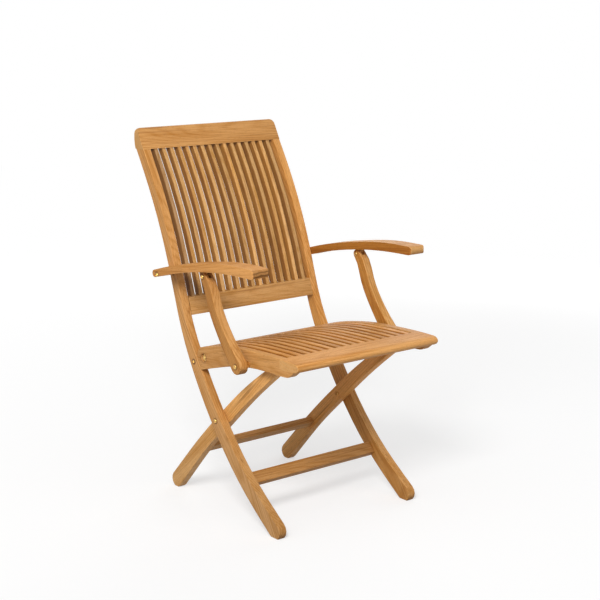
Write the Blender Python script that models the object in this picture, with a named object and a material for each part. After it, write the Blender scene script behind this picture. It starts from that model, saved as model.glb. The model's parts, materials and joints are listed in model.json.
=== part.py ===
"""A folding teak armchair with a tall slatted back, built board by board.

Metres, +Z up, the sitter faces -Y. The stiles run from the crest rail down to the front feet.
The rear legs cross them at a bolt, the seat hinges on the stiles, and each arm, its support,
the seat rail and the stile make a parallelogram, so that the whole chair folds flat together.
"""
import math

import bmesh
import bpy
import numpy as np

# Whole chair
CHAIR_WIDTH = 0.460
BOARD_THICKNESS = 0.0235
ARRIS_RADIUS = 0.0022
SLAT_COUNT = 16

# Clearances
GLUE_GAP = 0.0003
PIN_GAP = 0.0003
LEG_SIDE_GAP = 0.0018
SWING_GAP = 0.0010
CUT_OVERRUN = 0.004

# Stiles: heights are above the floor, and the curve's points are shares of run, rise and width
STILE_RUN_LENGTH = 0.5878
STILE_RISE_HEIGHT = 0.9583
STILE_WIDTH = 0.0440
STILE_SHARES = (
    (-0.004, 0.0190, 1.04),
    (0.209, 0.120, 0.98),
    (0.404, 0.250, 0.955),
    (0.551, 0.380, 0.870),
    (0.653, 0.500, 0.715),
    (0.717, 0.620, 0.700),
    (0.790, 0.750, 0.720),
    (0.888, 0.880, 0.735),
    (1.000, 1.000, 0.735),
)
CROSS_BOLT_HEIGHT = 0.2498
SEAT_HINGE_HEIGHT = 0.4106
SEAT_HINGE_OFFSET = 0.0375
HINGE_STUD_OFFSET = 0.0190
ARM_BOLT_HEIGHT = 0.6196

# Crest rail: the section's points are shares of its depth and height
CREST_OVERLAP_LENGTH = 0.0203
CREST_HEIGHT = 0.0560
CREST_DEPTH = 0.0443
CREST_CORNER_RADIUS = 0.014
CREST_SHARES = (
    (0.000, 0.00), (0.635, 0.945), (0.680, 0.985), (0.730, 1.00), (0.800, 0.99), (0.880, 0.945),
    (0.940, 0.86), (0.980, 0.70), (1.000, 0.46), (0.965, 0.20), (0.900, 0.00),
)

# Lower back rail and back slats
LOWER_RAIL_HEIGHT = 0.5080
LOWER_RAIL_WIDTH = 0.0460
LOWER_RAIL_THICKNESS = 0.0238
BACK_SLAT_WIDTH = 0.0120
BACK_SLAT_DEPTH = 0.0200
BACK_SLAT_EDGE_RADIUS = 0.0012
BACK_SLAT_OFFSET = 0.0028

# Stretchers
FRONT_STRETCHER_HEIGHT = 0.1190
FRONT_STRETCHER_WIDTH = 0.0345
FRONT_STRETCHER_THICKNESS = 0.0190
FRONT_STRETCHER_OFFSET = 0.0100
REAR_STRETCHER_DISTANCE = 0.1600
REAR_STRETCHER_WIDTH = 0.0300
REAR_STRETCHER_THICKNESS = 0.0190

# Rear legs: the curve's points are shares along each half, shares of its length sideways, and
# shares of the width
REAR_FOOT_DISTANCE = 0.2400
REAR_FOOT_HEIGHT = 0.0205
LEG_WIDTH = 0.0440
LEG_TOP_SHARE = 0.62
LEG_CROSS_SHARE = 0.90
LEG_UPPER_SHARES = ((0.494, 0.019, 0.82),)
LEG_LOWER_SHARES = ((0.475, 0.015, 0.90), (0.756, 0.008, 0.955))
LEG_BAR_RADIUS = 0.0075
LEG_BAR_ENTRY_DEPTH = 0.0050
LEG_BAR_DISTANCE = 0.2816
LEG_BAR_DEPTH = 0.0388

# Seat: the top curve's points are shares of the reach and rise from the hinge, and the rail's
# depth is a share of its deepest
SEAT_LENGTH = 0.4036
SEAT_RISE_HEIGHT = 0.0600
SEAT_TOP_SHARES = (
    (-0.060, 0.395), (0.060, 0.590), (0.177, 0.735), (0.400, 0.920), (0.623, 0.982),
    (0.822, 0.998), (1.000, 0.965),
)
SEAT_RAIL_DEPTH = 0.0615
SEAT_RAIL_SHARES = ((-0.030, 1.00), (0.120, 0.950), (0.280, 0.840), (0.505, 0.722), (0.650, 0.698),
                    (0.820, 0.705))
RAIL_NOSE_SHARES = ((0.861, 0.035), (0.885, 0.080), (0.902, 0.175), (0.915, 0.330), (0.930, 0.560),
                    (0.944, 0.810), (0.953, 1.000))
FRONT_RAIL_WIDTH = 0.0730
FRONT_RAIL_THICKNESS = 0.0238
FRONT_RAIL_NOSE_LENGTH = 0.0180
REAR_RAIL_WIDTH = 0.0500
REAR_RAIL_THICKNESS = 0.0160
REAR_RAIL_OFFSET = 0.0030
SEAT_SLAT_WIDTH = 0.0165
SEAT_SLAT_THICKNESS = 0.0120
SEAT_SLAT_EDGE_RADIUS = 0.0016
REAR_ROUND_SHARE = 0.6
NOTCH_DEPTH = 0.0060
NOTCH_FLARE_WIDTH = 0.0020

# Arms: the curve's points are shares of the reach and rise from the bolt, and of the thickness
ARM_LENGTH = 0.4340
ARM_RISE_HEIGHT = 0.0595
ARM_WIDTH = 0.0490
ARM_THICKNESS = 0.0243
ARM_SIDE_GAP = 0.0006
ARM_CORNER_RADIUS = 0.0065
ARM_EDGE_RADIUS = 0.0045
ARM_SHARES = (
    (-0.028, 0.030, 0.830),
    (0.180, 0.400, 0.870),
    (0.456, 0.748, 0.865),
    (0.787, 0.970, 0.985),
    (0.973, 0.975, 0.960),
)
TONGUE_WIDTH = 0.0190
TONGUE_THICKNESS = 0.0080

# Arm supports: shares along the line between the bolts, sideways from it, and of the width
SUPPORT_SPAN_LENGTH = 0.1974
SUPPORT_RISE_HEIGHT = 0.0205
SUPPORT_WIDTH = 0.0420
SUPPORT_THICKNESS = 0.0255
SUPPORT_SHARES = (
    (0.000, 0.000, 0.590),
    (0.090, -0.010, 0.690),
    (0.2835, 0.031, 0.755),
    (0.507, 0.052, 0.755),
    (0.751, 0.038, 0.830),
    (1.000, 0.000, 1.000),
)
FORK_DEPTH = 0.0125
SUPPORT_EDGE_RADIUS = 0.0035

# Brass
PLATE_THICKNESS = 0.0030
PLATE_EYE_RADIUS = 0.0125
PLATE_TAIL_RADIUS = 0.0090
PIN_RADIUS = 0.0035
HEAD_RADIUS = 0.0058
HEAD_HEIGHT = 0.0032
WASHER_RADIUS = 0.0088
WASHER_THICKNESS = 0.0012
COUNTERBORE_RADIUS = 0.0112
COUNTERBORE_DEPTH = 0.0050
ARM_BORE_RADIUS = 0.0064
ARM_BORE_DEPTH = 0.0015
STUD_HEAD_SHARE = 0.70
DOME_SHARES = ((0.30, 1.00), (0.62, 0.90), (0.86, 0.68), (0.97, 0.40), (1.00, 0.15))

# Folding: how far the seat swings up in degrees, and how much the legs turn for each degree
FOLD_LIMIT = 104
LEG_FOLD_RATIO = 0.6
NOTCH_EXIT_ANGLE = 8

# Smoothness
STILE_STEPS = 26
SEAT_STEPS = 14
LEG_STEPS = 15
ARM_STEPS = 14
SUPPORT_STEPS = 10
SLAT_STEPS = 7
RAIL_STEPS = 7
CAP_STEPS = 7
ROUND_SIDES = 16
LEAST_STEP_LENGTH = 0.0015

EASED_ANGLE = math.radians(50)

# Finishes: name, colour, roughness and metallic value
TEAK = ("teak", (0.60, 0.32, 0.12), 0.55, 0.0)
BRASS = ("brass", (0.72, 0.50, 0.20), 0.30, 1.0)

INNER_FACE = CHAIR_WIDTH / 2 - BOARD_THICKNESS
CLEAR_WIDTH = CHAIR_WIDTH - 2 * BOARD_THICKNESS
CREST_BASE_HEIGHT = STILE_RISE_HEIGHT - CREST_OVERLAP_LENGTH
OUTER_FACE = CHAIR_WIDTH / 2


def material(piece_name, finish):
    """One piece's own material, from a finish's name, colour, roughness and metallic value."""
    finish_name, colour, roughness, metallic = finish
    made = bpy.data.materials.new(piece_name + "_" + finish_name)
    made.use_nodes = True
    shader = made.node_tree.nodes["Principled BSDF"]
    shader.inputs["Base Color"].default_value = (*colour, 1)
    shader.inputs["Roughness"].default_value = roughness
    shader.inputs["Metallic"].default_value = metallic
    made.diffuse_color = (*colour, 1)
    return made


def smooth_curve(knots, steps):
    """Evenly spaced points on a natural cubic spline through the knots, by chord length."""
    knots = np.array(knots, dtype=float)
    chords = np.hypot(*np.diff(knots[:, :2], axis=0).T)
    at = np.concatenate([[0], np.cumsum(chords)])
    count = len(at)
    system = np.eye(count)
    load = np.zeros(knots.shape)
    for i in range(1, count - 1):
        before, after = chords[i - 1], chords[i]
        system[i, i - 1:i + 2] = before, 2 * (before + after), after
        slopes = (knots[i + 1] - knots[i]) / after - (knots[i] - knots[i - 1]) / before
        load[i] = 6 * slopes
    bend = np.linalg.solve(system, load)
    points = []
    for s in np.linspace(0, at[-1], steps + 1):
        i = min(np.searchsorted(at, s, side="right") - 1, count - 2)
        width = at[i + 1] - at[i]
        a, b = (at[i + 1] - s) / width, (s - at[i]) / width
        curved = ((a ** 3 - a) * bend[i] + (b ** 3 - b) * bend[i + 1]) * width ** 2 / 6
        points.append(a * knots[i] + b * knots[i + 1] + curved)
    return np.array(points)


def normals(points):
    """The unit normals of a curve in the YZ plane, to the left of its direction."""
    along = np.gradient(points[:, :2], axis=0)
    along /= np.linalg.norm(along, axis=1)[:, None]
    return np.stack([-along[:, 1], along[:, 0]], axis=1)


def round_cap(centre, start, steps=CAP_STEPS):
    """The inner points of a half circle that turns clockwise from the start offset."""
    points = []
    for i in range(1, steps):
        turn = -math.pi * i / steps
        y = start[0] * math.cos(turn) - start[1] * math.sin(turn)
        z = start[0] * math.sin(turn) + start[1] * math.cos(turn)
        points.append((centre[0] + y, centre[1] + z))
    return points


def board_outline(knots, steps, first_round=True, last_round=True):
    """The side outline of a curved board: knots are y, z and width along its middle."""
    curve = smooth_curve(knots, steps)
    half = normals(curve) * curve[:, 2:3] / 2
    left = [tuple(p) for p in curve[:, :2] + half]
    right = [tuple(p) for p in curve[:, :2] - half]
    last = round_cap(curve[-1], half[-1]) if last_round else []
    first = round_cap(curve[0], -half[0]) if first_round else []
    return left + last + right[::-1] + first


def keep_below(outline, level, sign=1):
    """Cut an outline at a height, and keep what is below it, or above it when sign is -1."""
    kept = []
    for here, there in zip(outline, outline[1:] + outline[:1]):
        over_here, over_there = sign * (here[1] - level), sign * (there[1] - level)
        if over_here <= 0:
            kept.append(here)
        if over_here * over_there < 0:
            share = over_here / (over_here - over_there)
            kept.append((here[0] + share * (there[0] - here[0]), level))
    cuts = [p for p in kept if p[1] == level]
    return [p for p in kept if p in cuts or all(math.dist(p, cut) > LEAST_STEP_LENGTH for cut in cuts)]


def at_height(points, height):
    """Where a rising curve in the YZ plane crosses a height."""
    return float(np.interp(height, points[:, 1], points[:, 0]))


def blend(start, end, share):
    return tuple(a + share * (b - a) for a, b in zip(start, end))


def beside(start, end, along, aside):
    """A point at a share of the way from start to end, and a share of that length to its left."""
    dy, dz = end[0] - start[0], end[1] - start[1]
    return (start[0] + along * dy - aside * dz, start[1] + along * dz + aside * dy)


def new_empty(name, place, parent=None):
    empty = bpy.data.objects.new(name, None)
    bpy.context.collection.objects.link(empty)
    empty.parent = parent
    empty.location = place
    empty.empty_display_size = BOARD_THICKNESS
    return empty


class Pivot:
    """An empty on a joint's axis, which carries the pieces that turn with it."""

    def __init__(self, name, place, parent=None):
        self.place = place
        origin = parent.place if parent else (0, 0, 0)
        local = [a - b for a, b in zip(place, origin)]
        self.empty = new_empty(name, local, parent.empty if parent else None)


def add_mesh(name, mesh, pivot, finish):
    piece = bpy.data.objects.new(name, mesh)
    bpy.context.collection.objects.link(piece)
    piece.parent = pivot.empty
    if finish:
        mesh.materials.append(material(name, finish))
    mesh.shade_smooth()
    mesh.set_sharp_from_angle(angle=math.radians(30))
    return piece


def extruded(name, outline, low, high, pivot, finish=None, axis="X"):
    """Extrude an outline from low to high: a YZ outline along X, an XZ one along Y, XY along Z."""
    bm = bmesh.new()
    corners = []
    for a, b in outline:
        place = {"X": (low, a, b), "Y": (a, low, b), "Z": (a, b, low)}[axis]
        corners.append(bm.verts.new([p - q for p, q in zip(place, pivot.place)]))
    face = bm.faces.new(corners)
    pushed = bmesh.ops.extrude_face_region(bm, geom=[face])
    step = {"X": (high - low, 0, 0), "Y": (0, high - low, 0), "Z": (0, 0, high - low)}[axis]
    moved = [item for item in pushed["geom"] if isinstance(item, bmesh.types.BMVert)]
    bmesh.ops.translate(bm, vec=step, verts=moved)
    bmesh.ops.recalc_face_normals(bm, faces=bm.faces)
    mesh = bpy.data.meshes.new(name)
    bm.to_mesh(mesh)
    bm.free()
    return add_mesh(name, mesh, pivot, finish)


def turned(name, profile, centre, side, pivot, finish=None):
    """Turn a profile of x and radius about the X axis through centre, mirrored by side."""
    bm = bmesh.new()
    rings = []
    for x, radius in profile:
        ring = []
        for i in range(ROUND_SIDES):
            turn = 2 * math.pi * i / ROUND_SIDES
            place = (side * x, centre[0] + radius * math.cos(turn), centre[1] + radius * math.sin(turn))
            ring.append(bm.verts.new([p - q for p, q in zip(place, pivot.place)]))
        rings.append(ring)
    for ring, after in zip(rings, rings[1:]):
        for i in range(ROUND_SIDES):
            j = (i + 1) % ROUND_SIDES
            bm.faces.new((ring[i], ring[j], after[j], after[i]))
    bm.faces.new(rings[0])
    bm.faces.new(rings[-1])
    bmesh.ops.recalc_face_normals(bm, faces=bm.faces)
    mesh = bpy.data.meshes.new(name)
    bm.to_mesh(mesh)
    bm.free()
    return add_mesh(name, mesh, pivot, finish)


def ease_edges(piece, radius=ARRIS_RADIUS, segments=2, crisp=None):
    """Round the sharp edges of a piece, but not those that crisp says belong to a tight joint."""
    bevel = piece.modifiers.new("eased_edges", "BEVEL")
    bevel.width = radius
    bevel.segments = segments
    bevel.limit_method = "ANGLE"
    bevel.angle_limit = EASED_ANGLE
    if crisp is None:
        return
    bm = bmesh.new()
    bm.from_mesh(piece.data)
    weights = [float(edge.calc_face_angle(0) > EASED_ANGLE and not crisp(*(v.co for v in edge.verts)))
               for edge in bm.edges]
    bm.free()
    piece.data.attributes.new("bevel_weight_edge", "FLOAT", "EDGE").data.foreach_set("value", weights)
    bevel.limit_method = "WEIGHT"


def near(a, b):
    return abs(a - b) < LEAST_STEP_LENGTH / 2


def level_with(height):
    """Picks the edges at one height, where a board of the back butts against another."""
    return lambda a, b: near(a[2], height) and near(b[2], height)


def same_x(a, b):
    return near(a[0], b[0])


def same_y(a, b):
    return near(a[1], b[1])


def same_z(a, b):
    return near(a[2], b[2])


def combine(piece, tool, operation):
    """Cut a piece with a tool, join it on, or keep what the two share; the tool stays hidden."""
    tool.hide_render = True
    tool.display_type = "WIRE"
    step = piece.modifiers.new(tool.name, "BOOLEAN")
    step.operation = operation
    step.solver = "EXACT"
    step.object = tool


def drill(piece, name, centre, radius, low, high, side, pivot):
    """A round hole along X, from low to high on the given side of the chair."""
    tool = turned(name, [(low, radius), (high, radius)], centre, side, pivot)
    combine(piece, tool, "DIFFERENCE")


def dome(face, direction, radius, height):
    """The profile of a shallow domed head that stands on a face."""
    return [(face, radius)] + [(face + direction * height * a, radius * b) for a, b in DOME_SHARES]


def evenly_spaced(count, width, clear):
    """The middles of equal slats with equal gaps between and beside them across a clear width."""
    gap = (clear - count * width) / (count + 1)
    return [-clear / 2 + gap + width / 2 + i * (width + gap) for i in range(count)]


# The stile's curve, which places nearly everything else
STILE_KNOTS = [(y * STILE_RUN_LENGTH, z * STILE_RISE_HEIGHT, w * STILE_WIDTH) for y, z, w in STILE_SHARES]
STILE_CURVE = smooth_curve(STILE_KNOTS, STILE_STEPS)
STILE_NORMALS = normals(STILE_CURVE)
STILE_HALF = STILE_NORMALS * STILE_CURVE[:, 2:3] / 2
STILE_FRONT = STILE_CURVE[:, :2] + STILE_HALF
STILE_BACK = STILE_CURVE[:, :2] - STILE_HALF


def on_stile(height):
    return (at_height(STILE_CURVE, height), height)


# The joints' axes, in the YZ plane
CROSS_BOLT = on_stile(CROSS_BOLT_HEIGHT)
SEAT_HINGE = (at_height(STILE_FRONT, SEAT_HINGE_HEIGHT) - SEAT_HINGE_OFFSET, SEAT_HINGE_HEIGHT)
HINGE_STUD = on_stile(SEAT_HINGE_HEIGHT - HINGE_STUD_OFFSET)
ARM_BOLT = on_stile(ARM_BOLT_HEIGHT)
SUPPORT_TOP = (ARM_BOLT[0] - SUPPORT_SPAN_LENGTH, ARM_BOLT[1] + SUPPORT_RISE_HEIGHT)
SUPPORT_FOOT = (SEAT_HINGE[0] - SUPPORT_SPAN_LENGTH, SEAT_HINGE[1] + SUPPORT_RISE_HEIGHT)

# The seat's top curve, from the rear to the front
SEAT_CURVE = smooth_curve([(SEAT_HINGE[0] - y * SEAT_LENGTH, SEAT_HINGE[1] + z * SEAT_RISE_HEIGHT)
                           for y, z in SEAT_TOP_SHARES], SEAT_STEPS)
SEAT_NOSE = SEAT_HINGE[0] - SEAT_LENGTH
FRONT_RAIL_BACK = SEAT_NOSE + FRONT_RAIL_WIDTH
REAR_RAIL_FRONT = SEAT_HINGE[0] - REAR_RAIL_OFFSET - REAR_RAIL_WIDTH + PLATE_EYE_RADIUS


def seat_top(y):
    return float(np.interp(-y, -SEAT_CURVE[:, 0], SEAT_CURVE[:, 1]))


def front_rail_underside(y):
    ends = (SEAT_NOSE + FRONT_RAIL_NOSE_LENGTH, FRONT_RAIL_BACK)
    return float(np.interp(y, ends, [seat_top(end) - FRONT_RAIL_THICKNESS for end in ends]))


LEG_BAR = (SEAT_HINGE[0] - LEG_BAR_DISTANCE, seat_top(SEAT_HINGE[0] - LEG_BAR_DISTANCE) - LEG_BAR_DEPTH)


def make_stiles(root):
    outline = board_outline(STILE_KNOTS, STILE_STEPS, last_round=False)
    outline = keep_below(outline, CREST_BASE_HEIGHT - GLUE_GAP)
    outline = keep_below(outline, 0, -1)
    for side, word in ((-1, "left"), (1, "right")):
        piece = extruded("stile_" + word, outline, side * INNER_FACE, side * OUTER_FACE, root, TEAK)
        ease_edges(piece, crisp=level_with(CREST_BASE_HEIGHT))
        low, high = INNER_FACE - CUT_OVERRUN, OUTER_FACE + CUT_OVERRUN
        pocket = link_outline(SEAT_HINGE, PLATE_EYE_RADIUS + PIN_GAP,
                              HINGE_STUD, PLATE_TAIL_RADIUS + PIN_GAP)
        bottom = INNER_FACE + PLATE_THICKNESS + 2 * GLUE_GAP
        tool = extruded("stile_pocket_tool_" + word, pocket, side * low, side * bottom, root)
        combine(piece, tool, "DIFFERENCE")
        for use, centre in (("stud", HINGE_STUD), ("cross", CROSS_BOLT)):
            drill(piece, "stile_%s_tool_%s" % (use, word), centre, PIN_RADIUS + PIN_GAP,
                  low, high, side, root)
        depth = INNER_FACE + BOARD_THICKNESS / 3
        drill(piece, "stile_arm_tool_" + word, ARM_BOLT, PIN_RADIUS + PIN_GAP, depth, high, side, root)


def link_outline(first, first_radius, second, second_radius):
    """The outline of a link with a round eye at each end."""
    dy, dz = second[0] - first[0], second[1] - first[1]
    length = math.hypot(dy, dz)
    heading = math.atan2(dz, dy)
    lean = math.acos((first_radius - second_radius) / length)
    points = []
    for centre, radius, start, end in ((second, second_radius, -lean, lean),
                                       (first, first_radius, lean, 2 * math.pi - lean)):
        for i in range(CAP_STEPS + 1):
            turn = heading + start + (end - start) * i / CAP_STEPS
            points.append((centre[0] + radius * math.cos(turn), centre[1] + radius * math.sin(turn)))
    return points


def swept_link(first, first_radius, second, second_radius):
    """The outline that a link sweeps as it turns about its first eye by the fold's range."""
    dy, dz = second[0] - first[0], second[1] - first[1]
    length, heading = math.hypot(dy, dz), math.atan2(dz, dy)
    fold, spread = math.radians(FOLD_LIMIT), math.asin(second_radius / length)
    outer = length + second_radius
    eye = np.linspace(heading + fold + math.pi / 2, heading + math.pi * 3 / 2, CAP_STEPS + 1)
    rim = np.linspace(heading - spread, heading + fold + spread, CAP_STEPS + 1)
    return [(first[0] + radius * math.cos(turn), first[1] + radius * math.sin(turn))
            for radius, turns in ((first_radius, eye), (outer, rim)) for turn in turns]


def make_crest_rail(root):
    """A deep top board with rounded shoulders, cut flat below where it sits on the stiles."""
    front = at_height(STILE_FRONT, CREST_BASE_HEIGHT)
    outline = [(front + y * CREST_DEPTH, CREST_BASE_HEIGHT + z * CREST_HEIGHT) for y, z in CREST_SHARES]
    below = CREST_BASE_HEIGHT - CUT_OVERRUN
    outline = [(outline[0][0], below)] + outline + [(outline[-1][0], below)]
    piece = extruded("crest_rail", outline, -OUTER_FACE, OUTER_FACE, root, TEAK)
    top, radius = CREST_BASE_HEIGHT + CREST_HEIGHT, CREST_CORNER_RADIUS
    shape = [(-OUTER_FACE, below - CUT_OVERRUN), (OUTER_FACE, below - CUT_OVERRUN)]
    for side, first in ((1, 0), (-1, 90)):
        for i in range(CAP_STEPS + 1):
            turn = math.radians(first + 90 * i / CAP_STEPS)
            x = side * (OUTER_FACE - radius) + radius * math.cos(turn)
            shape.append((x, top - radius + radius * math.sin(turn)))
    tool = extruded("crest_corner_tool", shape, front - CUT_OVERRUN, front + CREST_DEPTH + CUT_OVERRUN,
                    root, axis="Y")
    combine(piece, tool, "INTERSECT")
    ease_edges(piece)
    waste = [(front - CREST_DEPTH, below - CUT_OVERRUN), (front - CREST_DEPTH, CREST_BASE_HEIGHT),
             (front + 2 * CREST_DEPTH, CREST_BASE_HEIGHT), (front + 2 * CREST_DEPTH, below - CUT_OVERRUN)]
    tool = extruded("crest_base_tool", waste, -CHAIR_WIDTH, CHAIR_WIDTH, root)
    combine(piece, tool, "DIFFERENCE")


def make_lower_back_rail(root):
    low, high = LOWER_RAIL_HEIGHT, LOWER_RAIL_HEIGHT + LOWER_RAIL_WIDTH
    front_low, front_high = at_height(STILE_FRONT, low), at_height(STILE_FRONT, high)
    outline = [(front_low, low), (front_high, high),
               (front_high + LOWER_RAIL_THICKNESS, high), (front_low + LOWER_RAIL_THICKNESS, low)]
    end = INNER_FACE - GLUE_GAP
    ease_edges(extruded("lower_back_rail", outline, -end, end, root, TEAK), crisp=same_x)


def make_back_slats(root):
    """Narrow slats bent like the stiles, between the lower rail and the crest rail."""
    middle = STILE_FRONT - STILE_NORMALS * (BACK_SLAT_OFFSET + BACK_SLAT_DEPTH / 2)
    low = LOWER_RAIL_HEIGHT + LOWER_RAIL_WIDTH
    inside = (middle[:, 1] > low - LOWER_RAIL_WIDTH) & (middle[:, 1] < CREST_BASE_HEIGHT + CREST_HEIGHT)
    knots = [(y, z, BACK_SLAT_DEPTH) for y, z in middle[inside]]
    outline = board_outline(knots, SLAT_STEPS, False, False)
    outline = keep_below(outline, CREST_BASE_HEIGHT - GLUE_GAP)
    outline = keep_below(outline, low + GLUE_GAP, -1)
    places = evenly_spaced(SLAT_COUNT, BACK_SLAT_WIDTH, CLEAR_WIDTH)
    for number, x in enumerate(places, start=1):
        half = BACK_SLAT_WIDTH / 2
        piece = extruded("back_slat_%02d" % number, outline, x - half, x + half, root, TEAK)
        ease_edges(piece, BACK_SLAT_EDGE_RADIUS, 1, same_z)


def bar_outline(centre, direction, tall, thickness):
    """The square section of a bar that stands along a direction in the YZ plane."""
    length = math.hypot(*direction)
    up = (direction[0] / length, direction[1] / length)
    across = (up[1], -up[0])
    points = []
    for a, b in ((-1, -1), (-1, 1), (1, 1), (1, -1)):
        points.append(tuple(c + a * u * tall / 2 + b * v * thickness / 2
                            for c, u, v in zip(centre, up, across)))
    return points


def make_front_stretcher(root):
    height = FRONT_STRETCHER_HEIGHT
    index = int(np.argmin(abs(STILE_CURVE[:, 1] - height)))
    along = STILE_CURVE[index + 1, :2] - STILE_CURVE[index - 1, :2]
    set_back = STILE_NORMALS[index] * FRONT_STRETCHER_OFFSET
    centre = np.array(on_stile(height)) - set_back
    outline = bar_outline(centre, along, FRONT_STRETCHER_WIDTH, FRONT_STRETCHER_THICKNESS)
    end = INNER_FACE - GLUE_GAP
    ease_edges(extruded("front_stretcher", outline, -end, end, root, TEAK), crisp=same_x)


def make_seat_hinges(root):
    """The let-in plate with its pivot pin and the stud that holds it to the stile."""
    outline = link_outline(SEAT_HINGE, PLATE_EYE_RADIUS, HINGE_STUD, PLATE_TAIL_RADIUS)
    face = INNER_FACE + GLUE_GAP
    root_depth = face + PLATE_THICKNESS / 2
    seat = OUTER_FACE - COUNTERBORE_DEPTH + PIN_GAP
    washer = seat + WASHER_THICKNESS
    for side, word in ((-1, "left"), (1, "right")):
        plate = extruded("seat_hinge_" + word, outline, side * face, side * (face + PLATE_THICKNESS),
                         root, BRASS)
        pin = [(root_depth, PIN_RADIUS), (seat, PIN_RADIUS), (seat, WASHER_RADIUS), (washer, WASHER_RADIUS)]
        pin += dome(washer, 1, HEAD_RADIUS, HEAD_HEIGHT)
        combine(plate, turned("hinge_pin_tool_" + word, pin, SEAT_HINGE, side, root), "UNION")
        stud = [(root_depth, PIN_RADIUS), (OUTER_FACE + PIN_GAP, PIN_RADIUS)]
        stud += dome(OUTER_FACE + PIN_GAP, 1, HEAD_RADIUS * STUD_HEAD_SHARE, HEAD_HEIGHT * STUD_HEAD_SHARE)
        combine(plate, turned("hinge_stud_tool_" + word, stud, HINGE_STUD, side, root), "UNION")


def leg_knots():
    """The rear leg's middle, from the bar under the seat to the foot, through the cross bolt."""
    foot = (CROSS_BOLT[0] + REAR_FOOT_DISTANCE, REAR_FOOT_HEIGHT)
    knots = [(*LEG_BAR, LEG_TOP_SHARE * LEG_WIDTH)]
    knots += [(*beside(LEG_BAR, CROSS_BOLT, 1 - along, aside), share * LEG_WIDTH)
              for along, aside, share in LEG_UPPER_SHARES]
    knots.append((*CROSS_BOLT, LEG_CROSS_SHARE * LEG_WIDTH))
    knots += [(*beside(CROSS_BOLT, foot, along, aside), share * LEG_WIDTH)
              for along, aside, share in LEG_LOWER_SHARES]
    knots.append((*foot, LEG_WIDTH))
    return knots


def make_rear_legs(legs):
    outline = keep_below(board_outline(leg_knots(), LEG_STEPS), 0, -1)
    outer = INNER_FACE - LEG_SIDE_GAP
    inner = outer - BOARD_THICKNESS
    low, high = inner - CUT_OVERRUN, outer + CUT_OVERRUN
    for side, word in ((-1, "left"), (1, "right")):
        piece = extruded("rear_leg_" + word, outline, side * inner, side * outer, legs, TEAK)
        ease_edges(piece)
        drill(piece, "leg_cross_tool_" + word, CROSS_BOLT, PIN_RADIUS + PIN_GAP, low, high, side, legs)
        drill(piece, "leg_bar_tool_" + word, LEG_BAR, LEG_BAR_RADIUS + PIN_GAP, low, high, side, legs)


def make_rear_stretcher(legs):
    curve = smooth_curve(leg_knots(), LEG_STEPS)
    distance = np.hypot(*(curve[:, :2] - CROSS_BOLT).T)
    below = np.where(curve[:, 1] < CROSS_BOLT[1])[0]
    index = int(below[np.argmin(abs(distance[below] - REAR_STRETCHER_DISTANCE))])
    along = curve[index + 1, :2] - curve[index - 1, :2]
    outline = bar_outline(curve[index, :2], along, REAR_STRETCHER_WIDTH, REAR_STRETCHER_THICKNESS)
    end = INNER_FACE - LEG_SIDE_GAP - BOARD_THICKNESS - GLUE_GAP
    ease_edges(extruded("rear_stretcher", outline, -end, end, legs, TEAK), crisp=same_x)


def make_leg_top_bar(legs):
    """The round bar through the leg tops, whose ends sit in the seat rails' notches."""
    end = INNER_FACE + LEG_BAR_ENTRY_DEPTH
    turned("leg_top_bar", [(-end, LEG_BAR_RADIUS), (end, LEG_BAR_RADIUS)], LEG_BAR, 1, legs, TEAK)


def make_cross_bolts(root):
    tail = INNER_FACE - LEG_SIDE_GAP - BOARD_THICKNESS - PIN_GAP
    head = OUTER_FACE + PIN_GAP
    for side, word in ((-1, "left"), (1, "right")):
        profile = dome(tail, -1, HEAD_RADIUS, HEAD_HEIGHT)[::-1] + [(tail, PIN_RADIUS), (head, PIN_RADIUS)]
        profile += dome(head, 1, HEAD_RADIUS, HEAD_HEIGHT)
        turned("leg_cross_bolt_" + word, profile, CROSS_BOLT, side, root, BRASS)


def nearest_on(points, place):
    """The nearest place on a line of points."""
    starts, steps = points[:-1], np.diff(points, axis=0)
    shares = ((place - starts) * steps).sum(axis=1) / (steps ** 2).sum(axis=1)
    feet = starts + np.clip(shares, 0, 1)[:, None] * steps
    return feet[int(np.hypot(*(feet - place).T).argmin())]


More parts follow.
